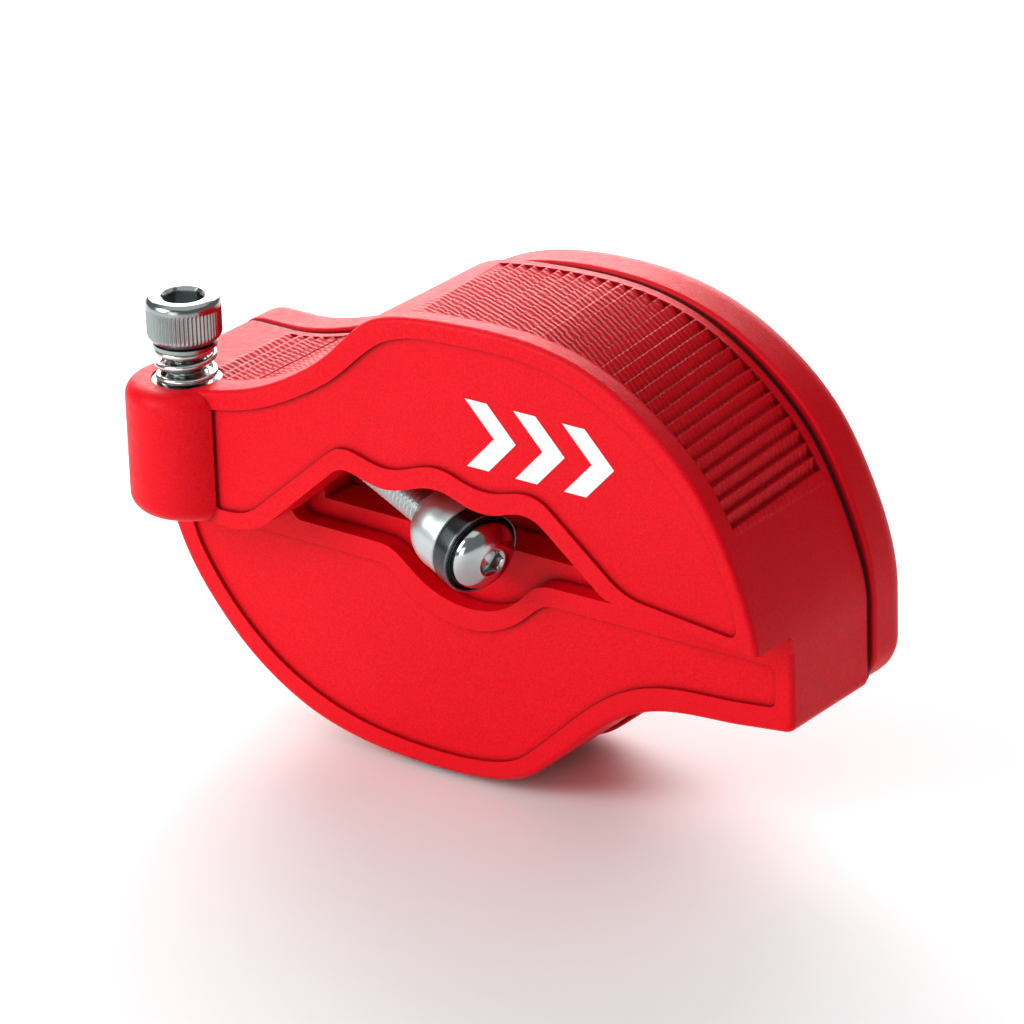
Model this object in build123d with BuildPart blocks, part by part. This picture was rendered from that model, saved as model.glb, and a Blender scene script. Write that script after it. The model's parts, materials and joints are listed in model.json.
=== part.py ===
from build123d import *
import math
import os

# Sidewall cutter for ski and snowboard edges.
# Frame: +X along the tool's travel, +Z up along the depth screw, -Y out of the
# guide face. The guide face lies on the plane Y = 0. Units: millimetres.
# The pieces are drawn round a working point in the middle of the blade chamber
# and lifted at the end, so that the underside of the screw boss is at Z = 0.

# ---------------------------------------------------------------- dimensions
body_depth = 17.0        # guide face to the rear joint of the housing
step = 7.5               # how far the upper plate stands in front of the guide face
reveal = 0.6             # dark gap between housing and rear cover
cover_thick = 7.8
cover_lip = 0.6          # how far the cover stands out past the housing
wall = 2.6
front_wall = 3.2
panel_depth = 0.5       # sunk panels on both front faces
rim_r = 0.8              # rounding of the front rims

screw_x, screw_y = -50.3, -3.5   # depth screw axis
boss_r = 8.3
boss_top = 8.9
boss_bottom = -9.2
lift = 9.2               # from the working point to the boss underside
seat_cb_r, seat_cb_depth = 4.75, 0.7

m6_r = 2.95              # M6 shank, running in the insert
m6_len = 24.6
head_r, head_h = 5.0, 6.4
head_under = 13.93       # underside of the screw head at rest
washer_t = 0.5
insert6_r, insert6_len, insert6_bore = 4.0, 12.0, 3.0
spring_mean_r, spring_wire_r = 3.8, 0.4

# blade axis: travel direction with 17 degrees lead to the front and 11 down
blade_dir = Vector(0.943, -0.285, -0.19).normalized()
blade_face = Vector(-1.35, -5.0, -4.25)      # centre of the ring blade's lip plane
ring_r, ring_t, ring_bore = 5.75, 2.9, 2.53
m5_r = 2.45
dome_r, dome_c = 5.6, -5.95
dome_end = dome_c - math.sqrt(dome_r ** 2 - 2.75 ** 2)
m5_tip = -44.5           # distances along the blade axis from the lip plane
spindle_boss_r = 5.4
spindle_boss_a, spindle_boss_b = -30.5, -36.0
spindle_insert_r, spindle_insert_bore, spindle_shoulder = 3.6, 2.5, -31.0

cover_screws_xz = [(-46.5, -17.5), (-5.0, -32.0), (35.0, -12.0), (5.0, 20.5)]
pillar_r = 4.0
insert3_r, insert3_bore, m3_r = 2.1, 1.5, 1.45

rib_pitch, rib_sink = 1.93, 0.62

# ------------------------------------------------------------ outline points
top_pts = [(-49.0, 8.9), (-41.4, 9.95), (-36.3, 11.5), (-29.5, 14.8), (-24.4, 18.3),
           (-20.2, 22.3), (-16.6, 25.1), (-11.0, 26.75), (-4.0, 27.45), (3.0, 27.75),
           (10.0, 27.35), (18.9, 25.0), (27.6, 19.75), (34.0, 13.6), (38.6, 6.0),
           (41.7, -1.6), (43.1, -8.6)]
bottom_pts = [(41.6, -20.4), (35.0, -21.2), (26.5, -21.9), (19.5, -23.5), (13.1, -27.3),
              (9.0, -30.8), (4.2, -35.1), (0.6, -37.7), (-3.6, -39.15), (-9.0, -39.95),
              (-15.5, -40.15), (-22.0, -39.9), (-28.6, -39.0), (-34.8, -37.2),
              (-40.4, -34.4), (-45.4, -30.8), (-49.9, -26.3), (-53.6, -21.5),
              (-56.3, -16.4), (-58.0, -10.8), (-58.6, -4.0)]
# the rear cover fills the hollow at the top left a little more
cover_top_pts = [(-50.0, 8.3), (-44.8, 8.95), (-39.4, 10.4), (-31.4, 13.6), (-25.6, 16.8),
                 (-21.2, 20.3), (-17.0, 23.1), (-11.8, 25.35), (-5.0, 26.85), (3.0, 27.4),
                 (10.0, 27.05), (18.9, 24.95), (27.9, 20.05), (34.4, 13.95), (39.0, 6.2),
                 (42.0, -1.5), (43.1, -8.6)]
left_x, right_x = -58.6, 43.1
corner_r = 4.0

wave_pts = [(-23.3, 2.7), (-21.6, 3.5), (-19.6, 3.3), (-17.0, 2.62), (-14.4, 2.4),
            (-11.1, 3.2), (-7.9, 4.15), (-5.1, 4.12), (-2.0, 3.15), (0.4, 2.72),
            (3.2, 2.98), (6.2, 3.85), (8.0, 3.92), (10.0, 3.15)]
chamber_low = [(-22.3, -9.5), (-20.3, -9.8), (-18.5, -10.8), (-16.0, -12.75), (-12.0, -14.75),
               (-7.5, -15.4), (-3.0, -14.6), (0.8, -12.15), (3.3, -9.95), (5.9, -9.25)]


def front_plane(y):
    """Sketch plane at depth y, local axes X and Z, normal towards the front."""
    return Plane.XZ.offset(-y)


def normals(pts):
    out = []
    for i in range(len(pts)):
        a, b = pts[max(i - 1, 0)], pts[min(i + 1, len(pts) - 1)]
        dx, dz = b[0] - a[0], b[1] - a[1]
        n = math.hypot(dx, dz)
        out.append((-dz / n, dx / n))
    return out


def shifted(pts, d, first=None, last=None):
    """Outline points moved outwards by d; first and last fix the end normals."""
    ns = normals(pts)
    if first is not None:
        ns[0] = first
    if last is not None:
        ns[-1] = last
    return [(p[0] + d * n[0], p[1] + d * n[1]) for p, n in zip(pts, ns)]


def outline_lines(d=0.0, tops=top_pts, corner=1.5, left_top=boss_top):
    """Closed front-view outline, grown by d, drawn in the active BuildLine."""
    t = shifted(tops, d, first=(0, 1), last=(1, 0))
    b = shifted(bottom_pts, d, last=(-1, 0))[1:]
    c = max(corner + d, 0.0)
    rx = right_x + d
    Spline(*[Vector(*p) for p in t], tangents=[(1, 0), (0, -1)], tangent_scalars=[1, 1])
    if c > 0.4:
        ex = rx - c + c * 0.1192
        ez = b[0][1] + 0.12 * (ex - b[0][0])
        cz = ez + c * 0.9929
        Line(t[-1], (rx, cz))
        ThreePointArc((rx, cz), (rx - c + c * 0.7071, cz - c * 0.7071), (ex, ez))
        b = [(ex, ez)] + b
    else:
        k = (rx, b[0][1] + 0.12 * (rx - b[0][0]))
        Line(t[-1], k)
        b = [k] + b
    Line(b[0], b[1])
    Spline(*[Vector(*p) for p in b[1:]], tangents=[(-1, -0.12), (0, 1)], tangent_scalars=[1, 1])
    Line(b[-1], (left_x - d, left_top - corner_r))
    CenterArc((left_x + corner_r, left_top - corner_r), corner_r + d, 90, 90)
    Line((left_x + corner_r, left_top + d), t[0])


def along(s):
    """Point on the blade axis at distance s from the lip plane."""
    return blade_face + blade_dir * s


def blade_plane(s):
    return Plane(origin=along(s), z_dir=blade_dir)


radial = (Vector(0, 0, 1) - blade_dir * blade_dir.Z).normalized()
axial_plane = Plane(origin=blade_face, x_dir=radial, z_dir=radial.cross(blade_dir))
blade_axis = Axis(blade_face, blade_dir)
screw_axis = Axis((screw_x, screw_y, 0), (0, 0, 1))

with BuildSketch(front_plane(0)) as outline_sk:
    with BuildLine():
        outline_lines()
    make_face()


# --------------------------------------------------------------- grip ribs
def arc_positions(pts, s0, s1, pitch):
    """Evenly spaced points with outward normals along a smooth line through pts."""
    n = len(pts)
    fine = []
    for i in range(n - 1):
        p0, p1, p2, p3 = pts[max(i - 1, 0)], pts[i], pts[i + 1], pts[min(i + 2, n - 1)]
        for k in range(24):
            u = k / 24.0
            fine.append(tuple(0.5 * (2 * p1[j] + (p2[j] - p0[j]) * u
                                     + (2 * p0[j] - 5 * p1[j] + 4 * p2[j] - p3[j]) * u * u
                                     + (3 * p1[j] - p0[j] - 3 * p2[j] + p3[j]) * u ** 3)
                              for j in (0, 1)))
    fine.append(pts[-1])
    out, run, target = [], 0.0, s0
    for a, b in zip(fine, fine[1:]):
        d = math.hypot(b[0] - a[0], b[1] - a[1])
        while run + d >= target and target <= s1 + 1e-9:
            f = (target - run) / d
            nx, nz = -(b[1] - a[1]) / d, (b[0] - a[0]) / d
            out.append((a[0] + f * (b[0] - a[0]), a[1] + f * (b[1] - a[1]), nx, nz))
            target += pitch
        run += d
    return out


def rib_tool(y0, y1):
    """A saw-tooth groove cutter along Y. Local X runs along the surface, Z out of it."""
    with BuildPart(mode=Mode.PRIVATE) as tool:
        with BuildSketch(front_plane(y1)):
            with BuildLine():
                Polyline((-0.98, 0.0), (-0.98, 0.5), (0.86, 0.5), (0.88, 0.0), (0.62, -rib_sink),
                         (0.44, -rib_sink), (-0.98, 0.0))
            make_face()
        extrude(amount=y1 - y0)
    return tool.part


rib_cutters = []
for pts, s0, s1, y0, y1, lean0, lean1 in [(top_pts, 43.6, 99.3, -4.5, 15.4, 7.0, 2.7),
                                          (top_pts, 1.6, 21.5, -2.6, 15.4, 0.0, 0.0),
                                          (bottom_pts, 9.5, 31.5, 2.6, 15.4, 0.0, 0.0),
                                          (bottom_pts, 49.5, 101.5, 2.6, 15.4, 0.0, 0.0)]:
    middle = (y0 + y1) / 2
    tool = rib_tool(y0 - middle, y1 - middle)
    places = arc_positions(pts, s0, s1, rib_pitch)
    for k, (x, z, nx, nz) in enumerate(places):
        lean = lean0 + (lean1 - lean0) * k / (len(places) - 1)
        seat = Plane(origin=(x, middle, z), x_dir=(nz, 0, -nx), z_dir=(nx, 0, nz)).location
        rib_cutters.append(tool.moved(seat * Location((0, 0, 0), (0, 0, 1), lean)))

def upper_panel_lines():
    """Outline of the sunk panel on the upper plate."""
    Spline((-42.2, -6.98), (-38.4, -6.5), (-35.4, -4.6), tangents=[(1, 0), (0.76, 0.65)], tangent_scalars=[1, 1])
    Line((-35.4, -4.6), (-24.2, 5.05))
    Spline((-24.2, 5.05), (-22.4, 6.2), (-20.2, 6.42), (-17.4, 5.75), (-13.8, 5.35),
           (-10.4, 6.25), (-7.4, 7.15), (-5.0, 7.15), (-2.4, 6.4), (0.4, 5.8),
           (3.3, 5.95), (6.6, 6.75), (9.0, 6.8), (11.4, 5.7),
           tangents=[(0.76, 0.65), (0.78, -0.62)], tangent_scalars=[1, 1])
    Line((11.4, 5.7), (20.6, -1.7))
    Spline((20.6, -1.7), (23.0, -3.1), (25.6, -3.75), tangents=[(0.78, -0.62), (1, -0.1)], tangent_scalars=[1, 1])
    Line((25.6, -3.75), (38.6, -5.0))
    Spline((38.6, -5.0), (39.7, -4.6), (39.9, -3.4), tangents=[(1, -0.05), (-0.15, 1)], tangent_scalars=[1, 1])
    Spline((39.9, -3.4), (38.2, 2.2), (35.6, 7.6), (31.8, 12.6), (26.0, 17.7),
           (18.0, 22.4), (10.0, 24.75), (3.0, 25.15), (-4.0, 24.85), (-9.8, 24.25),
           (-14.0, 22.85), (-17.9, 20.0), (-22.4, 16.0), (-28.2, 12.3),
           (-35.2, 9.0), (-43.3, 7.1), tangents=[(-0.15, 1), (-1, -0.12)], tangent_scalars=[1, 1])
    Line((-43.3, 7.1), (-43.3, -6.2))
    Spline((-43.3, -6.2), (-43.0, -6.8), (-42.2, -6.98), tangents=[(0, -1), (1, 0)], tangent_scalars=[1, 1])


def lower_panel_lines():
    """Outline of the sunk panel on the guide face."""
    Line((-52.2, -12.3), (-22.0, -12.3))
    Spline((-22.0, -12.3), (-20.3, -12.9), (-18.3, -14.9), (-14.4, -17.2), (-10.2, -18.35),
           (-6.4, -18.3), (-2.6, -17.2), (0.8, -15.2), (3.6, -12.8), (5.6, -11.9),
           tangents=[(1, 0), (1, 0.05)], tangent_scalars=[1, 1])
    Line((5.6, -11.9), (39.3, -11.5))
    Spline((39.3, -11.5), (40.2, -11.8), (40.5, -12.6), tangents=[(1, 0), (0, -1)], tangent_scalars=[1, 1])
    Line((40.5, -12.6), (40.5, -16.0))
    Spline((40.5, -16.0), (40.2, -16.95), (39.2, -17.35), tangents=[(0, -1), (-1, -0.1)], tangent_scalars=[1, 1])
    Spline((39.2, -17.35), (34.0, -17.95), (26.0, -18.5), (18.4, -20.4), (11.4, -24.8),
           (7.2, -28.6), (2.4, -33.0), (-0.8, -35.4), (-4.6, -36.65), (-9.4, -37.3),
           (-15.4, -37.45), (-21.7, -37.05), (-27.9, -36.0), (-33.5, -34.2),
           (-38.6, -31.7), (-43.2, -28.4), (-47.4, -24.3), (-50.8, -19.9),
           (-53.3, -15.2), (-53.7, -13.9), tangents=[(-1, -0.1), (-0.3, 1)], tangent_scalars=[1, 1])
    Spline((-53.7, -13.9), (-53.4, -12.75), (-52.2, -12.3), tangents=[(-0.1, 1), (1, 0)], tangent_scalars=[1, 1])


# ------------------------------------------------------------------ housing
with BuildPart() as boss:
    with BuildSketch(Plane.XY.offset(boss_bottom)):
        with Locations((screw_x, screw_y)):
            Circle(boss_r)
    extrude(amount=boss_top - boss_bottom)
    fillet(boss.faces().sort_by(Axis.Z)[-1].edges(), 2.2)
    fillet(boss.faces().sort_by(Axis.Z)[0].edges(), 2.4)

with BuildPart() as housing:
    with BuildSketch(front_plane(body_depth)):
        with BuildLine():
            outline_lines()
        make_face()
    extrude(amount=body_depth)
    fillet(housing.faces().sort_by(Axis.Y)[0].edges(), rim_r)
    fillet(housing.faces().sort_by(Axis.Y)[-1].edges(), 0.45)
    # upper plate, standing in front of the guide face
    with BuildSketch(front_plane(2.0)):
        with BuildLine():
            outline_lines()
        make_face()
        with Locations((0, -9.2 - 40)):
            Rectangle(200, 80, mode=Mode.SUBTRACT)
        with Locations((screw_x - 50, 0)):
            Rectangle(100, 200, mode=Mode.SUBTRACT)
    extrude(amount=step + 2.0)
    front = housing.faces().sort_by(Axis.Y)[0].edges()
    fillet([e for e in front if e.length > 5.0 and abs((e @ 0.5).X - screw_x) > 0.5
            and abs((e @ 0.5).Z + 9.2) > 0.5], rim_r)
    # left block behind the boss
    with BuildSketch(front_plane(2.0)):
        with BuildLine():
            outline_lines()
        make_face()
        with Locations((0, -9.2 - 40)):
            Rectangle(200, 80, mode=Mode.SUBTRACT)
        with Locations((screw_x + 50, 0)):
            Rectangle(100, 200, mode=Mode.SUBTRACT)
    extrude(amount=2.0 - screw_y)
    # depth screw boss
    add(boss.part)

    # lower edge of the upper plate: feet and the wavy edge over the blade
    with BuildSketch(front_plane(0)):
        with BuildLine():
            Line((-41.0, -9.2), (-41.0, -14.0))
            Line((-41.0, -14.0), (60.0, -14.0))
            Line((60.0, -14.0), (60.0, -7.3))
            Line((60.0, -7.3), (43.0, -6.75))
            Line((43.0, -6.75), (25.0, -5.5))
            Spline((25.0, -5.5), (21.6, -4.9), (18.9, -3.9), tangents=[(-1, 0.07), (-0.75, 0.66)], tangent_scalars=[1, 1])
            Line((18.9, -3.9), (11.2, 2.25))
            Spline((11.2, 2.25), *[Vector(*p) for p in reversed(wave_pts)],
                   tangents=[(-0.78, 0.62), (-0.74, -0.67)], tangent_scalars=[1, 1])
            Line(wave_pts[0], (-33.4, -6.1))
            Spline((-33.4, -6.1), (-35.6, -7.75), (-38.2, -8.8), (-41.0, -9.2),
                   tangents=[(-0.74, -0.67), (-1, -0.05)], tangent_scalars=[1, 1])
        make_face()
    extrude(amount=step + 6, mode=Mode.SUBTRACT)

    # blade chamber: shallow floor, then the deep slot above the ledge
    with BuildSketch(front_plane(0)):
        with BuildLine():
            Line((-34.6, -9.5), chamber_low[0])
            Spline(*[Vector(*p) for p in chamber_low], tangents=[(1, 0), (1, 0.05)], tangent_scalars=[1, 1])
            Line(chamber_low[-1], (18.0, -9.0))
            ThreePointArc((18.0, -9.0), (19.6, -8.3), (20.3, -6.8))
            Polyline((20.3, -6.8), (20.3, -4.2), (10.6, 4.9), (-22.0, 4.9), (-36.4, -7.4))
            ThreePointArc((-36.4, -7.4), (-36.05, -8.95), (-34.6, -9.5))
        make_face()
    extrude(amount=-3.0, mode=Mode.SUBTRACT)
    with BuildSketch(front_plane(0)):
        with BuildLine():
            Polyline((-33.2, -6.9), (19.3, -6.9), (19.3, -3.3), (10.6, 4.9), (-22.0, 4.9),
                     (-33.2, -5.2), (-33.2, -6.9))
        make_face()
    extrude(amount=-9.0, mode=Mode.SUBTRACT)

    # sunk panels
    for y, lines in [(-step, upper_panel_lines), (0, lower_panel_lines)]:
        with BuildSketch(front_plane(y)):
            with BuildLine():
                lines()
            make_face()
        extrude(amount=-panel_depth, mode=Mode.SUBTRACT)

    # hollow from the rear: behind the chamber, then around it
    with BuildSketch(front_plane(body_depth)):
        with BuildLine():
            outline_lines(-wall)
        make_face()
    extrude(amount=body_depth - 11.2, mode=Mode.SUBTRACT)
    with BuildSketch(front_plane(11.2)):
        with BuildLine():
            outline_lines(-wall)
        make_face()
        with BuildLine():
            Polyline((-38.6, -11.8), (-21.0, -11.8), (-19.3, -15.6), (-7.5, -18.0), (3.0, -15.0),
                     (6.3, -11.6), (22.8, -11.4), (22.8, -3.2), (11.6, 7.2), (-23.0, 7.2),
                     (-38.6, -6.2), (-38.6, -11.8))
        make_face(mode=Mode.SUBTRACT)
    extrude(amount=11.2 - front_wall, mode=Mode.SUBTRACT)
    # hollow inside the upper plate
    with BuildSketch(front_plane(front_wall)):
        with BuildLine():
            Spline((38.6, -1.2), (36.4, 4.4), (31.6, 11.0), (25.4, 16.4), (17.6, 21.2),
                   (9.4, 23.8), (3.0, 24.1), (-4.0, 23.8), (-9.4, 23.0), (-14.0, 20.8),
                   (-19.4, 16.2), (-27.0, 11.6), (-36.0, 8.0), tangents=[(-0.3, 1), (-1, -0.25)], tangent_scalars=[1, 1])
            Polyline((-36.0, 8.0), (-38.0, 3.0), (-30.0, 3.0), (-23.8, 8.6), (11.9, 8.6), (24.2, -1.2),
                     (38.6, -1.2))
        make_face()
    extrude(amount=front_wall + 4.6, mode=Mode.SUBTRACT)

    # pillars for the cover screws
    with BuildSketch(front_plane(body_depth)):
        with Locations(*cover_screws_xz):
            Circle(pillar_r)
    extrude(amount=body_depth - 2.0)
    with BuildSketch(front_plane(body_depth)):
        with Locations(*cover_screws_xz):
            Circle(insert3_r)
    extrude(amount=7.0, mode=Mode.SUBTRACT)

    # slanted boss that holds the blade screw's insert, and the well round its nut
    with BuildSketch(blade_plane(spindle_boss_b)):
        Circle(spindle_boss_r)
    extrude(amount=spindle_boss_a - spindle_boss_b)
    with BuildSketch(blade_plane(spindle_boss_b)):
        Circle(5.2)
    extrude(amount=-5.5, mode=Mode.SUBTRACT)
    with BuildSketch(blade_plane(spindle_boss_b)):
        Circle(3.0)
    extrude(amount=-9.5, mode=Mode.SUBTRACT)
    with BuildSketch(blade_plane(spindle_boss_b)):
        Circle(spindle_insert_r)
    extrude(amount=spindle_shoulder - spindle_boss_b, mode=Mode.SUBTRACT)
    with BuildSketch(blade_plane(spindle_shoulder)):
        Circle(3.0)
    extrude(amount=15.0, mode=Mode.SUBTRACT)

    # depth screw: counterbore for the spring seat, insert seat, clearance below
    with BuildSketch(Plane.XY.offset(boss_top + 3.0)):
        with Locations((screw_x, screw_y)):
            Circle(seat_cb_r)
    extrude(amount=-seat_cb_depth - 3.0, mode=Mode.SUBTRACT)
    with BuildSketch(Plane.XY.offset(boss_top)):
        with Locations((screw_x, screw_y)):
            Circle(insert6_r)
    extrude(amount=-seat_cb_depth - insert6_len, mode=Mode.SUBTRACT)
    with BuildSketch(Plane.XY.offset(boss_top)):
        with Locations((screw_x, screw_y)):
            Circle(3.3)
    extrude(amount=-30.0, mode=Mode.SUBTRACT)

    # grip ribs
    add(rib_cutters, mode=Mode.SUBTRACT)

# ------------------------------------------------------------- depth screw
with BuildPart() as depth_screw:
    with BuildSketch(Plane.XZ.offset(-screw_y)):
        with BuildLine():
            Polyline((screw_x, head_under), (screw_x + 3.9, head_under),
                     (screw_x + 4.75, head_under + 0.95), (screw_x + head_r, head_under + 1.1),
                     (screw_x + head_r, head_under + head_h - 0.9))
            ThreePointArc((screw_x + head_r, head_under + head_h - 0.9),
                          (screw_x + head_r - 0.24, head_under + head_h - 0.26),
                          (screw_x + head_r - 0.9, head_under + head_h))
            Polyline((screw_x + head_r - 0.9, head_under + head_h), (screw_x, head_under + head_h),
                     (screw_x, head_under))
        make_face()
    revolve(axis=screw_axis)
    with BuildSketch(Plane.XY.offset(head_under)):
        with Locations((screw_x, screw_y)):
            Circle(m6_r)
    extrude(amount=-m6_len)
    chamfer(depth_screw.faces().sort_by(Axis.Z)[0].edges(), 0.8)
    with BuildSketch(Plane.XY.offset(head_under + head_h)):
        with Locations((screw_x, screw_y)):
            RegularPolygon(radius=2.5, side_count=6, major_radius=False)
    extrude(amount=-3.0, mode=Mode.SUBTRACT)

with BuildPart() as thrust_washer:
    with BuildSketch(Plane.XY.offset(head_under - washer_t)):
        with Locations((screw_x, screw_y)):
            Circle(4.3)
            Circle(3.2, mode=Mode.SUBTRACT)
    extrude(amount=washer_t)

seat_z = boss_top - seat_cb_depth
with BuildPart() as spring_seat:
    with BuildSketch(Plane.XY.offset(seat_z)):
        with Locations((screw_x, screw_y)):
            Circle(4.65)
            Circle(3.2, mode=Mode.SUBTRACT)
    extrude(amount=washer_t)

spring_lo, spring_hi = seat_z + washer_t, head_under - washer_t
coil_h = spring_hi - spring_lo - 2 * spring_wire_r
with BuildPart() as depth_spring:
    with BuildLine():
        Helix(pitch=coil_h / 3.25, height=coil_h, radius=spring_mean_r,
              center=(screw_x, screw_y, spring_lo + spring_wire_r))
    with BuildSketch(Plane(origin=(screw_x + spring_mean_r, screw_y, spring_lo + spring_wire_r),
                           z_dir=(0, 1, 0))):
        Circle(spring_wire_r)
    sweep(is_frenet=True)

with BuildPart() as boss_insert:
    with BuildSketch(Plane.XY.offset(seat_z)):
        with Locations((screw_x, screw_y)):
            Circle(insert6_r)
            Circle(insert6_bore, mode=Mode.SUBTRACT)
    extrude(amount=-insert6_len)

# ------------------------------------------------------------ blade assembly
with BuildPart() as ring_blade:
    with BuildSketch(axial_plane):
        with BuildLine():
            Polyline((ring_bore, -ring_t + 0.02), (ring_r - 0.35, -ring_t + 0.02), (ring_r, -ring_t + 0.35),
                     (ring_r, -0.06), (ring_r - 0.06, 0.0), (ring_r - 0.32, 0.0), (ring_r - 0.72, -0.5),
                     (ring_r - 0.82, -0.5), (ring_r - 0.92, -0.12), (ring_bore, -0.12),
                     (ring_bore, -ring_t + 0.02))
        make_face()
    revolve(axis=blade_axis)

with BuildPart() as blade_screw:
    with BuildSketch(axial_plane):
        with BuildLine():
            Line((0, m5_tip), (m5_r - 0.6, m5_tip))
            Polyline((m5_r - 0.6, m5_tip), (m5_r, m5_tip + 0.6), (m5_r, -0.1), (4.7, -0.1), (4.75, 0.25))
            ThreePointArc((4.75, 0.25), (3.95, 1.8), (2.35, 2.65))
            Polyline((2.35, 2.65), (0, 2.65), (0, m5_tip))
        make_face()
    revolve(axis=blade_axis)
    with BuildSketch(blade_plane(2.65)):
        RegularPolygon(radius=1.5, side_count=6, major_radius=False)
    extrude(amount=-1.8, mode=Mode.SUBTRACT)

with BuildPart() as blade_dome_nut:
    with BuildSketch(axial_plane):
        with BuildLine():
            Line((m5_r, -ring_t), (dome_r - 0.25, -ring_t))
            Polyline((dome_r - 0.25, -ring_t), (dome_r, -ring_t - 0.25), (dome_r, dome_c))
            ThreePointArc((dome_r, dome_c), (dome_r * math.cos(math.radians(33)), dome_c - dome_r * math.sin(math.radians(33))),
                          (2.75, dome_end))
            Polyline((2.75, dome_end), (m5_r, dome_end), (m5_r, -ring_t))
        make_face()
    revolve(axis=blade_axis)

with BuildPart() as spindle_insert:
    with BuildSketch(blade_plane(spindle_boss_b)):
        Circle(spindle_insert_r)
        Circle(spindle_insert_bore, mode=Mode.SUBTRACT)
    extrude(amount=spindle_shoulder - spindle_boss_b)

with BuildPart() as lock_washer:
    with BuildSketch(blade_plane(spindle_boss_b - 0.8)):
        Circle(4.3)
        Circle(2.6, mode=Mode.SUBTRACT)
    extrude(amount=0.8)

with BuildPart() as lock_nut:
    with BuildSketch(blade_plane(spindle_boss_b - 4.8)):
        RegularPolygon(radius=4.0, side_count=6, major_radius=False)
        Circle(2.5, mode=Mode.SUBTRACT)
    extrude(amount=4.0)

# -------------------------------------------------------------- rear cover
cover_y0 = body_depth + reveal
cover_y1 = cover_y0 + cover_thick
with BuildPart() as rear_cover:
    with BuildSketch(front_plane(cover_y1)):
        with BuildLine():
            outline_lines(cover_lip, cover_top_pts, corner=5.4, left_top=8.3)
        make_face()
    extrude(amount=cover_thick)
    rim = rear_cover.faces().sort_by(Axis.Y)[-1].edges()
    fillet(rim, 3.6)
    rim = rear_cover.faces().sort_by(Axis.Y)[0].edges()
    fillet(rim, 0.5)
    # spigot that centres the cover in the housing
    with BuildSketch(front_plane(cover_y0)):
        with BuildLine():
            outline_lines(-wall - 0.15)
        make_face()
    extrude(amount=2.4)
    with BuildSketch(front_plane(cover_y0 - 2.4)):
        with BuildLine():
            outline_lines(-wall - 1.3)
        make_face()
    extrude(amount=-cover_thick, mode=Mode.SUBTRACT)
    with BuildSketch(front_plane(cover_y0)):
        with Locations(*cover_screws_xz):
            Circle(pillar_r + 0.15)
    extrude(amount=3.0, mode=Mode.SUBTRACT)
    with BuildSketch(front_plane(cover_y1 - 2.0)):
        with Locations(*cover_screws_xz):
            Circle(pillar_r)
    extrude(amount=cover_thick - 2.0 + reveal)
    with Locations(*[Location(front_plane(cover_y1).from_local_coords(Vector(x, z, 0)), (90, 0, 0))
                     for x, z in cover_screws_xz]):
        CounterBoreHole(radius=1.7, counter_bore_radius=3.1, counter_bore_depth=2.6, depth=20)

with BuildPart() as cover_gasket:
    with BuildSketch(front_plane(cover_y0)):
        with BuildLine():
            outline_lines(-0.35)
        make_face()
        with BuildLine():
            outline_lines(-wall)
        make_face(mode=Mode.SUBTRACT)
    extrude(amount=reveal)

with BuildPart() as cover_inserts:
    with BuildSketch(front_plane(body_depth)):
        with Locations(*cover_screws_xz):
            Circle(insert3_r)
            Circle(insert3_bore, mode=Mode.SUBTRACT)
    extrude(amount=6.0)

with BuildPart() as cover_screws:
    with BuildSketch(front_plane(cover_y1 - 2.6)):
        with Locations(*cover_screws_xz):
            Circle(2.75)
    extrude(amount=-1.9)
    with BuildSketch(front_plane(cover_y1 - 2.6)):
        with Locations(*cover_screws_xz):
            Circle(m3_r)
    extrude(amount=10.0)
    with BuildSketch(front_plane(cover_y1 - 0.7)):
        with Locations(*cover_screws_xz):
            RegularPolygon(radius=1.25, side_count=6, major_radius=False)
    extrude(amount=1.3, mode=Mode.SUBTRACT)

# ------------------------------------------------------------------ output
os.makedirs("parts", exist_ok=True)
for name, piece in [("housing", housing), ("depth_screw", depth_screw),
                    ("thrust_washer", thrust_washer), ("spring_seat", spring_seat),
                    ("depth_spring", depth_spring), ("boss_insert", boss_insert),
                    ("ring_blade", ring_blade), ("blade_screw", blade_screw),
                    ("blade_dome_nut", blade_dome_nut), ("spindle_insert", spindle_insert),
                    ("lock_washer", lock_washer), ("lock_nut", lock_nut),
                    ("rear_cover", rear_cover), ("cover_gasket", cover_gasket),
                    ("cover_inserts", cover_inserts), ("cover_screws", cover_screws)]:
    solid = piece.part.moved(Location((0, 0, lift)))
    solid.label = name
    export_step(solid, "parts/" + name + ".step")
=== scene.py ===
import json
import math

import bmesh
import bpy
from mathutils import Matrix, Vector


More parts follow.
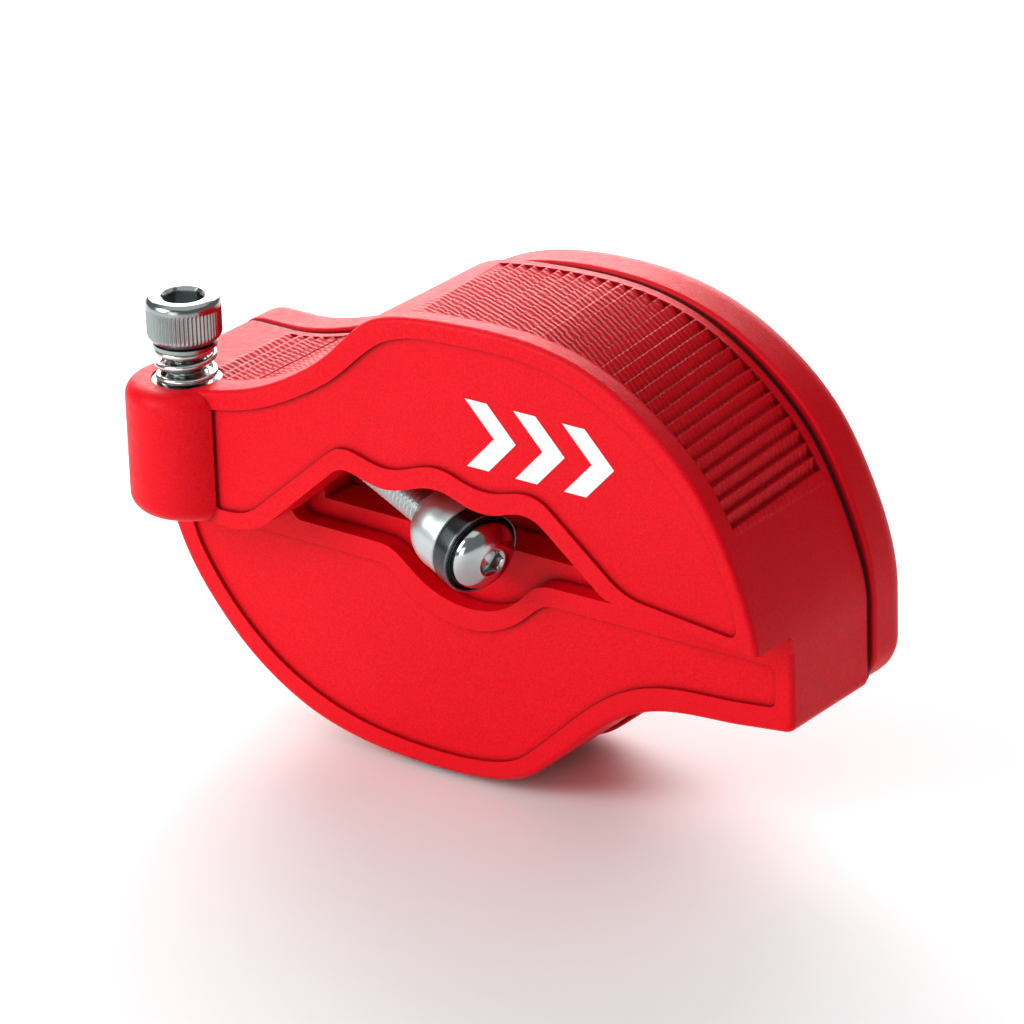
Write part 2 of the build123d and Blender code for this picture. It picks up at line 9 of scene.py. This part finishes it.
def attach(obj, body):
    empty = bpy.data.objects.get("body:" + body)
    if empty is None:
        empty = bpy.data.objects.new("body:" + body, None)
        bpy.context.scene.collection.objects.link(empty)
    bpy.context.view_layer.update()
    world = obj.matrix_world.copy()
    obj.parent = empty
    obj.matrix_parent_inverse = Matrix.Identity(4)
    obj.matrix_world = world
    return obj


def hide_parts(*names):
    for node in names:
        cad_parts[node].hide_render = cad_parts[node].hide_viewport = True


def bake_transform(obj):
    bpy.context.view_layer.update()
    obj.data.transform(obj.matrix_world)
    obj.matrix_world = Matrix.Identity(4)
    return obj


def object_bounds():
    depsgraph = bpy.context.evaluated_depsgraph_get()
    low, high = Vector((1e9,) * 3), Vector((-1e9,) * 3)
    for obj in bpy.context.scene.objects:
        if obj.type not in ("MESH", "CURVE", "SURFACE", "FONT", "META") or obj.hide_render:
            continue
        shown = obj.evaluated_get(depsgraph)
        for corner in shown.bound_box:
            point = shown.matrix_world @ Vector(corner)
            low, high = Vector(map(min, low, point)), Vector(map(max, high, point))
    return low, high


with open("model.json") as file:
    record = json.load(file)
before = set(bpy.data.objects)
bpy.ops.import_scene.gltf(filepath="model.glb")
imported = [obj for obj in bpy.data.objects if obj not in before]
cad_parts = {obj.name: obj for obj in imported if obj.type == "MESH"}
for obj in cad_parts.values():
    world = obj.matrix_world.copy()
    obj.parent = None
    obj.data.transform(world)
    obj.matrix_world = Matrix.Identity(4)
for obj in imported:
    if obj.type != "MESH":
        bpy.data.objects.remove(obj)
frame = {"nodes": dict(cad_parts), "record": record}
cad_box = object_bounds()

# ------------------------------------------------------------------ numbers
# Everything is in metres in the row frame. MM turns millimetres into metres,
# and LIFT is the height of the drawing's working point above the origin.
MM = 0.001
LIFT = 9.2
SCREW = (-50.3, -3.5)
BLADE_DIR = Vector((0.943, -0.285, -0.19)).normalized()
BLADE_FACE = Vector((-1.35, -5.0, -4.25 + LIFT))


# ---------------------------------------------------------------- node tools
class Mat:
    """Small helper for building a procedural material."""

    def __init__(self, name):
        self.m = bpy.data.materials.new(name)
        self.m.use_nodes = True
        self.t = self.m.node_tree
        self.t.nodes.clear()
        self.out = self.n("ShaderNodeOutputMaterial")
        self.b = self.n("ShaderNodeBsdfPrincipled")
        self.link(self.b.outputs["BSDF"], self.out.inputs["Surface"])
        self.coord = self.n("ShaderNodeTexCoord").outputs["Object"]

    def n(self, kind, **props):
        node = self.t.nodes.new(kind)
        for k, v in props.items():
            setattr(node, k, v)
        return node

    def link(self, a, b):
        self.t.links.new(a, b)

    def noise(self, scale, detail=3.0, rough=0.55, vec=None):
        n = self.n("ShaderNodeTexNoise")
        n.inputs["Scale"].default_value = scale
        n.inputs["Detail"].default_value = detail
        n.inputs["Roughness"].default_value = rough
        self.link(vec if vec is not None else self.coord, n.inputs["Vector"])
        return n.outputs["Fac"]

    def ramp(self, fac, lo, hi, a, b):
        n = self.n("ShaderNodeMapRange")
        n.inputs["From Min"].default_value = lo
        n.inputs["From Max"].default_value = hi
        n.inputs["To Min"].default_value = a
        n.inputs["To Max"].default_value = b
        self.link(fac, n.inputs["Value"])
        return n.outputs["Result"]

    def math(self, op, a, b=None, clamp=False):
        n = self.n("ShaderNodeMath", operation=op, use_clamp=clamp)
        for i, v in enumerate((a, b)):
            if v is None:
                continue
            if isinstance(v, (int, float)):
                n.inputs[i].default_value = v
            else:
                self.link(v, n.inputs[i])
        return n.outputs[0]

    def mix(self, fac, a, b):
        n = self.n("ShaderNodeMix", data_type="RGBA")
        if isinstance(fac, (int, float)):
            n.inputs[0].default_value = fac
        else:
            self.link(fac, n.inputs[0])
        for i, v in ((6, a), (7, b)):
            if isinstance(v, tuple):
                n.inputs[i].default_value = (*v, 1.0)
            else:
                self.link(v, n.inputs[i])
        return n.outputs[2]

    def bump(self, height, dist, strength=1.0, normal=None):
        n = self.n("ShaderNodeBump")
        n.inputs["Strength"].default_value = strength
        n.inputs["Distance"].default_value = dist
        self.link(height, n.inputs["Height"])
        if normal is not None:
            self.link(normal, n.inputs["Normal"])
        return n.outputs["Normal"]

    def set(self, name, value):
        if isinstance(value, (int, float)):
            self.b.inputs[name].default_value = value
        elif isinstance(value, tuple):
            self.b.inputs[name].default_value = (*value, 1.0)
        else:
            self.link(value, self.b.inputs[name])
        return self

    def axial(self, origin, axis):
        """(distance along the axis, distance from it) in metres at the shaded point."""
        sub = self.n("ShaderNodeVectorMath", operation="SUBTRACT")
        self.link(self.coord, sub.inputs[0])
        sub.inputs[1].default_value = tuple(origin)
        dot = self.n("ShaderNodeVectorMath", operation="DOT_PRODUCT")
        self.link(sub.outputs[0], dot.inputs[0])
        dot.inputs[1].default_value = tuple(axis)
        cross = self.n("ShaderNodeVectorMath", operation="CROSS_PRODUCT")
        self.link(sub.outputs[0], cross.inputs[0])
        cross.inputs[1].default_value = tuple(axis)
        length = self.n("ShaderNodeVectorMath", operation="LENGTH")
        self.link(cross.outputs[0], length.inputs[0])
        return dot.outputs["Value"], length.outputs["Value"]


def red_plastic(name, grain=1.0, ribs=False):
    m = Mat(name)
    fine = m.noise(3400.0 * grain, 2.0, 0.6)
    mid = m.noise(900.0, 3.0, 0.5)
    broad = m.noise(45.0, 4.0, 0.5)
    speck = m.ramp(fine, 0.30, 0.72, 0.0, 1.0)
    base = m.mix(speck, (0.60, 0.0012, 0.006), (0.82, 0.0022, 0.012))
    base = m.mix(m.ramp(mid, 0.35, 0.7, 0.0, 0.35), base, (0.70, 0.002, 0.014))
    base = m.mix(m.ramp(broad, 0.4, 0.75, 0.0, 0.18), base, (0.55, 0.001, 0.006))
    # Painted shade: an ambient-occlusion mask darkens the base colour towards deep red in creases, panel steps and
    # corners.
    crease_shade_ao = m.n("ShaderNodeAmbientOcclusion", samples=6)
    crease_shade_ao.inputs["Distance"].default_value = 0.0011
    base = m.mix(m.ramp(crease_shade_ao.outputs["AO"], 0.42, 0.93, 0.88, 0.0), base, (0.10, 0.0006, 0.002))
    m.set("Base Color", base)
    rough = m.math("ADD", m.ramp(mid, 0.3, 0.7, 0.40, 0.50), m.ramp(broad, 0.3, 0.7, -0.03, 0.05))
    m.set("Roughness", rough)
    m.set("Specular IOR Level", 0.11)
    pits = m.n("ShaderNodeTexVoronoi", feature="SMOOTH_F1")
    pits.inputs["Scale"].default_value = 2600.0 * grain
    m.link(m.coord, pits.inputs["Vector"])
    h = m.math("ADD", m.math("MULTIPLY", pits.outputs["Distance"], 0.6), m.math("MULTIPLY", fine, 0.7))
    n1 = m.bump(h, 0.00006, 0.55)
    n2 = m.bump(mid, 0.00015, 0.18, n1)
    if ribs:
        n2 = m.bump(rib_beads(m), 0.00009, 0.85, n2)
    m.set("Normal", n2)
    return m.m


def rib_beads(m):
    """Height of the small beads along the grip ribs, zero away from the four rib patches."""
    geo = m.n("ShaderNodeNewGeometry")
    nsep = m.n("ShaderNodeSeparateXYZ")
    m.link(geo.outputs["True Normal"], nsep.inputs[0])
    sep = m.n("ShaderNodeSeparateXYZ")
    m.link(m.coord, sep.inputs[0])
    x, y, z = sep.outputs[0], sep.outputs[1], sep.outputs[2]

    def above(v, edge, soft=0.4):
        return m.ramp(v, (edge - soft) * MM, edge * MM, 0.0, 1.0)

    def below(v, edge, soft=0.4):
        return m.ramp(v, edge * MM, (edge + soft) * MM, 1.0, 0.0)

    def every(*parts):
        out = parts[0]
        for q in parts[1:]:
            out = m.math("MULTIPLY", out, q)
        return out

    side = m.ramp(m.math("ABSOLUTE", nsep.outputs[1]), 0.25, 0.40, 1.0, 0.0)
    rear = below(y, 15.3)
    clear = m.math("MAXIMUM", above(z, 8.6 + LIFT), above(x, 25.0))
    top = every(above(x, -11.4), above(z, 7.6 + LIFT), clear, above(y, -4.4))
    left = every(above(x, -48.4), below(x, -28.8), above(z, 8.0 + LIFT), above(y, -2.5))
    foot = every(above(x, 11.8), below(x, 33.2), below(z, -20.6 + LIFT), above(y, 2.7))
    low = every(above(x, -50.8), below(x, -1.5), below(z, -24.0 + LIFT), above(y, 2.7))
    area = m.math("MAXIMUM", m.math("MAXIMUM", top, left), m.math("MAXIMUM", foot, low))
    wob = m.math("ADD", y, m.math("MULTIPLY", m.noise(420.0, 2.0), 0.00110))
    wave = m.ramp(m.math("SINE", m.math("MULTIPLY", wob, 2 * math.pi / 0.00095)), -1.0, 1.0, 0.0, 1.0)
    rough = m.math("MULTIPLY", m.noise(1500.0, 3.0), 0.9)
    return every(side, rear, area, m.math("ADD", wave, rough))


def steel(name, color=(0.60, 0.62, 0.62), rough=(0.16, 0.30), turned=None, grain=1500.0, pitch=0.00012,
          depth=0.000004, stain=0.25):
    """Steel. turned = (origin, axis) adds fine lathe lines round that axis."""
    m = Mat(name)
    big = m.noise(260.0, 4.0, 0.6)
    fine = m.noise(grain * 3.0, 2.0, 0.5)
    col = m.mix(m.ramp(big, 0.42, 0.72, 0.0, stain), color, tuple(c * 0.45 for c in color))
    m.set("Base Color", col)
    m.set("Metallic", 1.0)
    m.set("Roughness", m.math("ADD", m.ramp(big, 0.3, 0.7, rough[0], rough[1]), m.ramp(fine, 0.3, 0.7, -0.03, 0.03)))
    n = m.bump(fine, 0.00001, 0.08)
    if turned:
        s, r = m.axial(*turned)
        both = m.math("ADD", s, m.math("MULTIPLY", r, 0.83))
        wob = m.math("ADD", both, m.math("MULTIPLY", m.noise(90.0, 2.0), 0.00006))
        wave = m.math("SINE", m.math("MULTIPLY", wob, 2 * math.pi / pitch))
        n = m.bump(m.ramp(wave, -1, 1, 0, 1), depth, 1.0, n)
        m.set("Anisotropic", 0.35)
    m.set("Normal", n)
    return m.m


# Soft black rubber for the cover gasket. Its near-black colour also stands in for the shadow in the narrow cover gap
# (painted shade).
def soft_black_gap_shade(name):
    m = Mat(name)
    a = m.noise(1800.0, 3.0)
    m.set("Base Color", m.mix(a, (0.010, 0.006, 0.007), (0.028, 0.020, 0.022)))
    m.set("Roughness", m.ramp(a, 0.3, 0.7, 0.62, 0.82))
    m.set("Normal", m.bump(a, 0.00008, 0.4))
    return m.m


def brass(name, origin=None, axis=None):
    m = Mat(name)
    big = m.noise(300.0, 4.0)
    m.set("Base Color", m.mix(m.ramp(big, 0.35, 0.7, 0.0, 0.6), (0.72, 0.47, 0.16), (0.42, 0.25, 0.09)))
    m.set("Metallic", 1.0)
    m.set("Roughness", m.ramp(big, 0.3, 0.7, 0.22, 0.40))
    n = m.bump(m.noise(5000.0, 2.0), 0.00002, 0.2)
    if origin is not None:
        s, r = m.axial(origin, axis)
        wave = m.math("SINE", m.math("MULTIPLY", s, 2 * math.pi / 0.0005))
        n = m.bump(m.ramp(wave, -1, 1, 0, 1), 0.00003, 0.8, n)
    m.set("Normal", n)
    return m.m


def print_white(name):
    m = Mat(name)
    a = m.noise(2600.0, 3.0)
    b = m.noise(500.0, 4.0)
    m.set("Base Color", m.mix(m.ramp(a, 0.3, 0.75, 0.0, 0.5), (0.90, 0.90, 0.90), (0.80, 0.79, 0.79)))
    m.set("Roughness", m.ramp(b, 0.3, 0.7, 0.38, 0.55))
    m.set("Normal", m.bump(a, 0.00005, 0.35))
    return m.m


# ---------------------------------------------------------------- mesh tools
def frame_at(origin, axis):
    """Matrix whose +Z lies along axis, placed at origin (millimetres)."""
    z = Vector(axis).normalized()
    up = Vector((0, 0, 1)) if abs(z.z) < 0.9 else Vector((0, 1, 0))
    x = (up - z * up.dot(z)).normalized()
    y = z.cross(x)
    m = Matrix((x, y, z)).transposed().to_4x4()
    m.translation = Vector(origin)
    return m


def finish_mesh(name, bm, place, material, angle=32.0):
    bmesh.ops.remove_doubles(bm, verts=bm.verts, dist=1e-5)
    bmesh.ops.recalc_face_normals(bm, faces=bm.faces)
    me = bpy.data.meshes.new(name)
    bm.to_mesh(me)
    bm.free()
    me.transform(Matrix.Scale(MM, 4) @ place)
    for p in me.polygons:
        p.use_smooth = True
    me.set_sharp_from_angle(angle=math.radians(angle))
    ob = bpy.data.objects.new(name, me)
    bpy.context.scene.collection.objects.link(ob)
    me.materials.append(material)
    return ob


def hex_radius(theta, apothem, soft=0.0):
    """Radius of a hexagon at an angle, with its corners eased by soft."""
    a = (theta + math.pi / 6) % (math.pi / 3) - math.pi / 6
    r = apothem / math.cos(a)
    top = apothem / math.cos(math.pi / 6) - soft
    return min(r, top)


def grid(name, rows, place, material, seg=96, angle=32.0, cap_start=False, cap_end=False):
    """Skin over rows. Each row is a function of the angle giving (radius, height)."""
    bm = bmesh.new()
    rings = []
    for row in rows:
        ring = []
        for k in range(seg):
            th = 2 * math.pi * k / seg
            r, z = row(th)
            ring.append(bm.verts.new((r * math.cos(th), r * math.sin(th), z)))
        rings.append(ring)
    for a, b in zip(rings, rings[1:]):
        for k in range(seg):
            j = (k + 1) % seg
            bm.faces.new((a[k], a[j], b[j], b[k]))
    if cap_start:
        bm.faces.new(rings[0])
    if cap_end:
        bm.faces.new(rings[-1])
    return finish_mesh(name, bm, place, material, angle)


def circle_row(r, z):
    return lambda th: (r, z)


def hex_row(apothem, z, soft=0.0):
    return lambda th: (hex_radius(th, apothem, soft), z)


def arc(cr, cz, rad, a0, a1, n):
    """Rows along an arc in the radius-height plane."""
    out = []
    for i in range(n + 1):
        a = math.radians(a0 + (a1 - a0) * i / n)
        out.append(circle_row(cr + rad * math.cos(a), cz + rad * math.sin(a)))
    return out


def thread_rows(z0, z1, major, root, pitch, per=10, taper0=0.0, taper1=0.0, hand=1.0):
    """Rows of a helical thread from z0 to z1, with run-outs of the given lengths."""
    out = []
    n = max(int(abs(z1 - z0) / pitch * per), 2)
    for i in range(n + 1):
        z = z0 + (z1 - z0) * i / n

        def row(th, z=z):
            ph = ((z / pitch) - hand * th / (2 * math.pi)) % 1.0
            tri = 1.0 - abs(2.0 * ph - 1.0)
            t = min(max((tri - 0.10) / 0.74, 0.0), 1.0)
            k = 1.0
            if taper0 and abs(z - z0) < taper0:
                k = min(k, abs(z - z0) / taper0)
            if taper1 and abs(z1 - z) < taper1:
                k = min(k, abs(z1 - z) / taper1)
            r = root + (major - root) * t
            return (root + (r - root) * k if taper1 and abs(z1 - z) < taper1 else r * (0.80 + 0.20 * k) if k < 1 else r, z)

        out.append(row)
    return out


# ------------------------------------------------------------------ materials
screw_origin = (SCREW[0] * MM, SCREW[1] * MM, 0.0)
up = (0.0, 0.0, 1.0)
bf = tuple(c * MM for c in BLADE_FACE)
bd = tuple(BLADE_DIR)

M_RED = red_plastic("red_plastic_fine_texture", 1.0, True)
M_RED_COVER = red_plastic("red_plastic_smoother", 1.3)
M_GASKET_GAP_SHADE = soft_black_gap_shade("gasket_black_gap_shade")
M_BRIGHT = steel("bright_zinc_steel", (0.56, 0.59, 0.58), (0.14, 0.26), (screw_origin, up), stain=0.15)
M_HEAD = steel("plated_screw_steel", (0.33, 0.37, 0.36), (0.15, 0.26), (screw_origin, up), stain=0.2)
M_SPRING = steel("spring_wire", (0.58, 0.60, 0.58), (0.18, 0.26), None, stain=0.1)
M_THREAD = steel("blade_screw_thread", (0.55, 0.60, 0.60), (0.24, 0.30), None, stain=0.08)
M_CHROME = steel("button_head_chrome", (0.50, 0.54, 0.54), (0.13, 0.17), (bf, bd), stain=0.05, depth=0.0000012)
M_DOME = steel("domed_nut_satin", (0.52, 0.57, 0.57), (0.33, 0.38), (bf, bd), stain=0.06, pitch=0.00016,
               depth=0.000003)
M_BLADE = steel("blade_dark_steel", (0.050, 0.058, 0.060), (0.22, 0.34), (bf, bd), stain=0.3, pitch=0.0001,
                depth=0.000003)
M_LIP = steel("blade_ground_lip", (0.16, 0.18, 0.19), (0.24, 0.32), (bf, bd), stain=0.1)
M_BRASS_V = brass("brass_upright", screw_origin, up)
M_BRASS_B = brass("brass_spindle", bf, bd)
M_BRASS_Y = brass("brass_cover", (0, 0, 0), (0, 1, 0))
M_WHITE = print_white("white_print")

# ------------------------------------------------------- CAD nodes that stay
nodes = frame["nodes"]


def dress(node, material, bevel=None, segments=2, angle=30.0):
    ob = nodes[node]
    if ob.material_slots:
        for s in ob.material_slots:
            s.material = material
    else:
        ob.data.materials.append(material)
    if bevel:
        b = ob.modifiers.new("soft_edges", "BEVEL")
        b.width = bevel * MM
        b.segments = segments
        b.limit_method = "ANGLE"
        b.angle_limit = math.radians(angle)
        b.harden_normals = False
    return ob


dress("housing", M_RED)
dress("rear_cover", M_RED_COVER)
# Black rubber gasket in the cover gap, partly real seal and partly painted shade for the dark gap line.
dress("cover_gasket", M_GASKET_GAP_SHADE)
dress("cover_inserts", M_BRASS_Y)
dress("cover_screws", M_BRIGHT, 0.12)
dress("boss_insert", M_BRASS_V)
dress("spring_seat", M_HEAD, 0.08)
dress("thrust_washer", M_HEAD, 0.08)
dress("spindle_insert", M_BRASS_B)
dress("lock_washer", M_BRIGHT, 0.08)
dress("lock_nut", M_BRIGHT, 0.15)

# -------------------------------------------------------------- depth screw
HU, HH, HR = 13.93 + LIFT, 6.4, 5.0
place_screw = Matrix.Translation((SCREW[0], SCREW[1], 0.0))


def knurl_row(z, depth, base=HR - 0.02, count=56):
    def row(th):
        w = 0.5 - 0.5 * math.cos(count * th)
        w = w ** 0.8
        return (base - depth * w, z)
    return row


rows = []
tip = HU - 24.6
rows += [circle_row(0.001, tip), circle_row(1.9, tip), circle_row(2.15, tip + 0.06)]
rows += thread_rows(tip + 0.3, HU - 1.7, 2.93, 2.40, 1.0, 10, taper0=0.7, taper1=0.8)
rows += [circle_row(2.42, HU - 1.5), circle_row(2.85, HU - 1.1), circle_row(2.85, HU - 0.15),
         circle_row(2.95, HU - 0.02), circle_row(3.7, HU)]
rows += [circle_row(3.9, HU + 0.01), circle_row(4.05, HU + 0.07), circle_row(4.72, HU + 0.78),
         circle_row(4.82, HU + 0.95)]
rows += [knurl_row(HU + 1.00, 0.0, 4.86), knurl_row(HU + 1.25, 0.13, 4.97), knurl_row(HU + 1.45, 0.20)]
for i in range(1, 9):
    rows.append(knurl_row(HU + 1.45 + i * 0.40, 0.20))
rows += [knurl_row(HU + 4.75, 0.19), knurl_row(HU + 4.92, 0.11), knurl_row(HU + 5.06, 0.0)]
rows += arc(HR - 1.05, HU + HH - 1.02, 1.03, 4, 78, 9)
rows += [circle_row(3.35, HU + HH - 0.005), circle_row(3.12, HU + HH - 0.02), circle_row(2.98, HU + HH - 0.10)]
rows += [hex_row(2.52, HU + HH - 0.42, 0.05), hex_row(2.5, HU + HH - 0.60), hex_row(2.5, HU + HH - 2.9),
         hex_row(2.35, HU + HH - 3.0)]
rows += [circle_row(1.6, HU + HH - 3.25), circle_row(0.001, HU + HH - 3.9)]
screw = grid("depth_screw_fine", rows, place_screw, M_HEAD, seg=672, angle=28.0)
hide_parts("depth_screw")
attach(screw, "depth_screw_body")

# ------------------------------------------------------------------- spring
S_LO, S_HI = 8.7 + LIFT, 13.43 + LIFT
WIRE, MEAN = 0.41, 3.76


def spring_piece():
    turns_end, active = 0.75, 1.15
    total = turns_end * 2 + active
    lo, hi = S_LO + WIRE, S_HI - WIRE
    close = 0.60
    def height(t):
        if t < turns_end:
            return lo - 0.10 + close * t / turns_end
        if t > total - turns_end:
            return hi + 0.10 - close * (total - t) / turns_end
        u = (t - turns_end) / active
        s = u + 0.06 * math.sin(2 * math.pi * (u - 0.5)) * 0
        return (lo - 0.10 + close) + (hi - lo + 0.20 - 2 * close) * s
    n = int(total * 44)
    bm = bmesh.new()
    rings = []
    pts = []
    for i in range(n + 1):
        t = total * i / n
        th = 2 * math.pi * t + 2.4
        pts.append(Vector((MEAN * math.cos(th), MEAN * math.sin(th), height(t))))
    for i, p in enumerate(pts):
        a, b = pts[max(i - 1, 0)], pts[min(i + 1, n)]
        tan = (b - a).normalized()
        out = Vector((p.x, p.y, 0)).normalized()
        side = tan.cross(out).normalized()
        out = side.cross(tan).normalized()
        ring = []
        for k in range(18):
            q = 2 * math.pi * k / 18
            v = p + out * (WIRE * math.cos(q)) + side * (WIRE * math.sin(q))
            v.z = min(max(v.z, S_LO + 0.01), S_HI - 0.01)
            ring.append(bm.verts.new(v))
        rings.append(ring)
    for a, b in zip(rings, rings[1:]):
        for k in range(18):
            j = (k + 1) % 18
            bm.faces.new((a[k], a[j], b[j], b[k]))
    bm.faces.new(rings[0])
    bm.faces.new(rings[-1])
    return finish_mesh("depth_spring_coil", bm, place_screw, M_SPRING, 40.0)


coil = spring_piece()
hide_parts("depth_spring")
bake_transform(coil)

# -------------------------------------------------------------- blade pieces
place_blade = frame_at(BLADE_FACE, BLADE_DIR)

# domed nut: lens-shaped steel body, turned, with a small collar at its back
DR, DC = 5.58, -5.95
rows = [circle_row(2.47, -2.93), circle_row(5.2, -2.93), circle_row(5.42, -2.97), circle_row(5.54, -3.1),
        circle_row(DR, -3.3), circle_row(DR, -4.4)]
END = math.degrees(math.acos(2.80 / DR))
rows += arc(0.0, DC, DR, 0, -END, 34)
end_r = DR * math.cos(math.radians(END))
end_z = DC - DR * math.sin(math.radians(END))
rows += [circle_row(end_r - 0.06, end_z - 0.03), circle_row(2.62, end_z - 0.03), circle_row(2.47, end_z + 0.1)]
rows += [circle_row(2.47, end_z + 1.0), circle_row(2.47, -2.93)]
dome = grid("blade_dome_nut_fine", rows, place_blade, M_DOME, seg=144, angle=30.0)
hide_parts("blade_dome_nut")
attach(dome, "housing_body")

# ring blade: hardened ring with a ground lip, grooved face
rows = [circle_row(2.53, -2.86), circle_row(5.28, -2.86), circle_row(5.46, -2.83), circle_row(5.62, -2.72),
        circle_row(5.715, -2.55), circle_row(5.735, -2.35), circle_row(5.735, -0.42), circle_row(5.728, -0.20),
        circle_row(5.70, -0.07), circle_row(5.66, -0.03), circle_row(5.58, -0.015),
        circle_row(5.40, -0.05), circle_row(5.30, -0.14), circle_row(5.22, -0.30), circle_row(5.12, -0.44),
        circle_row(5.02, -0.49), circle_row(4.93, -0.44), circle_row(4.87, -0.30), circle_row(4.84, -0.18),
        circle_row(4.80, -0.14), circle_row(2.53, -0.13), circle_row(2.53, -2.86)]
ring = grid("ring_blade_fine", rows, place_blade, M_BLADE, seg=192, angle=40.0)
ring.data.materials.append(M_LIP)
inv = place_blade.inverted()
for p in ring.data.polygons:
    c = inv @ (Vector(p.center) / MM)
    r = math.hypot(c.x, c.y)
    if 5.38 < r < 5.72 and c.z > -0.24:
        p.material_index = 1
    if 4.83 < r < 4.95 and c.z > -0.42:
        p.material_index = 1
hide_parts("ring_blade")
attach(ring, "blade_body")

# button head screw with rolled thread
rows = [circle_row(0.001, -44.5), circle_row(1.75, -44.5), circle_row(1.95, -44.4)]
rows += thread_rows(-44.1, -3.4, 2.44, 2.00, 0.8, 9, taper0=0.6, taper1=0.5)
rows += [circle_row(2.05, -3.3), circle_row(2.44, -3.0), circle_row(2.44, -0.105), circle_row(4.62, -0.10),
         circle_row(4.70, -0.04), circle_row(4.735, 0.08), circle_row(4.72, 0.22)]
# crowned head: points of a flat ellipse from the rim to the top land
for i in range(1, 19):
    a = math.radians(4 + (61 - 4) * i / 18)
    rows.append(circle_row(4.74 * math.cos(a) ** 0.92 + 0.0, 0.18 + 2.52 * math.sin(a) ** 0.96))
rows += [circle_row(2.08, 2.50), circle_row(1.92, 2.50), circle_row(1.80, 2.42)]
rows += [hex_row(1.53, 2.20, 0.03), hex_row(1.5, 2.08), hex_row(1.5, 0.95), hex_row(1.42, 0.86)]
rows += [circle_row(0.9, 0.70), circle_row(0.001, 0.45)]
button = grid("blade_screw_fine", rows, place_blade, M_CHROME, seg=144, angle=30.0)
button.data.materials.append(M_THREAD)
for p in button.data.polygons:
    c = inv @ (Vector(p.center) / MM)
    if c.z < -0.2:
        p.material_index = 1
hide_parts("blade_screw")
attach(button, "housing_body")


# -------------------------------------------------------------- white print
def flat_piece(name, polys, y, thick, material):
    """Thin raised print: polygons in X and Z (millimetres, working frame) on a front face."""
    bm = bmesh.new()
    for poly in polys:
        vs = [bm.verts.new((x, y, z + LIFT)) for x, z in poly]
        f = bm.faces.new(vs)
        res = bmesh.ops.extrude_face_region(bm, geom=[f])
        top = [v for v in res["geom"] if isinstance(v, bmesh.types.BMVert)]
        bmesh.ops.translate(bm, verts=top, vec=(0, -thick, 0))
    return finish_mesh(name, bm, Matrix.Identity(4), material, 30.0)


def chevron(x, z, w, h, t, slant=0.0):
    return [(x, z + h), (x + t, z + h), (x + t + w, z), (x + t, z - h), (x, z - h), (x + w, z)]


marks = []
for i in range(3):
    marks.append(chevron(-1.5 + i * 7.6, 13.2, 4.4, 4.6, 3.4))
mark = flat_piece("travel_chevrons", marks, -7.0, 0.03, M_WHITE)
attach(mark, "housing_body")
mark if any(m.get("slot") == "white_print" for m in frame["record"]["materials"]) else None

# -------------------------------------------------------------------- stage
bm = bmesh.new()
lo = cad_box[0]
zf = float(lo[2]) - 0.0002
n = 24
size = 3.0
verts = [[bm.verts.new(((i / n - 0.5) * 2 * size, (j / n - 0.5) * 2 * size, zf)) for j in range(n + 1)]
         for i in range(n + 1)]
for i in range(n):
    for j in range(n):
        bm.faces.new((verts[i][j], verts[i + 1][j], verts[i + 1][j + 1], verts[i][j + 1]))
me = bpy.data.meshes.new("floor")
bm.to_mesh(me)
bm.free()
floor = bpy.data.objects.new("floor", me)
bpy.context.scene.collection.objects.link(floor)
fm = Mat("pale_floor")
fn = fm.noise(14.0, 4.0)
fm.set("Base Color", fm.mix(fn, (0.86, 0.86, 0.86), (0.90, 0.90, 0.90)))
fm.set("Roughness", fm.ramp(fn, 0.3, 0.7, 0.75, 0.85))
fm.set("Normal", fm.bump(fm.noise(900.0, 2.0), 0.0001, 0.05))
floor.data.materials.append(fm.m)

world = bpy.data.worlds.new("studio")
bpy.context.scene.world = world
world.use_nodes = True
wt = world.node_tree
wt.nodes["Background"].inputs[0].default_value = (0.92, 0.95, 0.97, 1.0)
wt.nodes["Background"].inputs[1].default_value = 0.22


def area(name, loc, target, size, power, color=(1, 1, 1), size_y=None):
    li = bpy.data.lights.new(name, "AREA")
    li.energy = power
    li.color = color
    li.size = size
    if size_y:
        li.shape = "RECTANGLE"
        li.size_y = size_y
    ob = bpy.data.objects.new(name, li)
    bpy.context.scene.collection.objects.link(ob)
    ob.location = loc
    d = Vector(target) - Vector(loc)
    ob.rotation_euler = d.to_track_quat("-Z", "Y").to_euler()
    return ob


aim = (-0.005, 0.0, 0.005)
area("key_front_left", (-0.42, -0.62, 0.38), aim, 0.45, 5.0)
area("front_fill", (0.05, -0.75, 0.10), aim, 0.35, 1.1)
area("back_left_soft", (-0.40, 0.54, 0.30), aim, 0.75, 8.5, size_y=0.45)
area("overhead", (0.0, 0.05, 0.90), (0.0, 0.0, 0.0), 1.3, 3.8)

# ------------------------------------------------------------------- camera
R = Matrix(((0.800776, 0.598231, -0.029605),
            (-0.217005, 0.335837, 0.916582),
            (0.558271, -0.727553, 0.398749)))
cam_data = bpy.data.cameras.new("camera")
cam_data.sensor_width = 36.0
cam_data.lens = 6000.0 / 1024.0 * 36.0
cam_data.clip_start = 0.01
cam_data.clip_end = 20.0
cam = bpy.data.objects.new("camera", cam_data)
bpy.context.scene.collection.objects.link(cam)
rot = R.transposed().to_4x4()
back = Vector(R[2])
centre = Vector((0.0, 0.0, LIFT * MM))
cam.matrix_world = Matrix.Translation(centre + back * 0.765306) @ rot
bpy.context.scene.camera = cam
bpy.context.scene.view_settings.view_transform = "Standard"
bpy.context.scene.view_settings.look = "None"
bpy.context.scene.view_settings.exposure = 0.0
bpy.context.scene.view_settings.gamma = 1.0

bpy.context.view_layer.update()
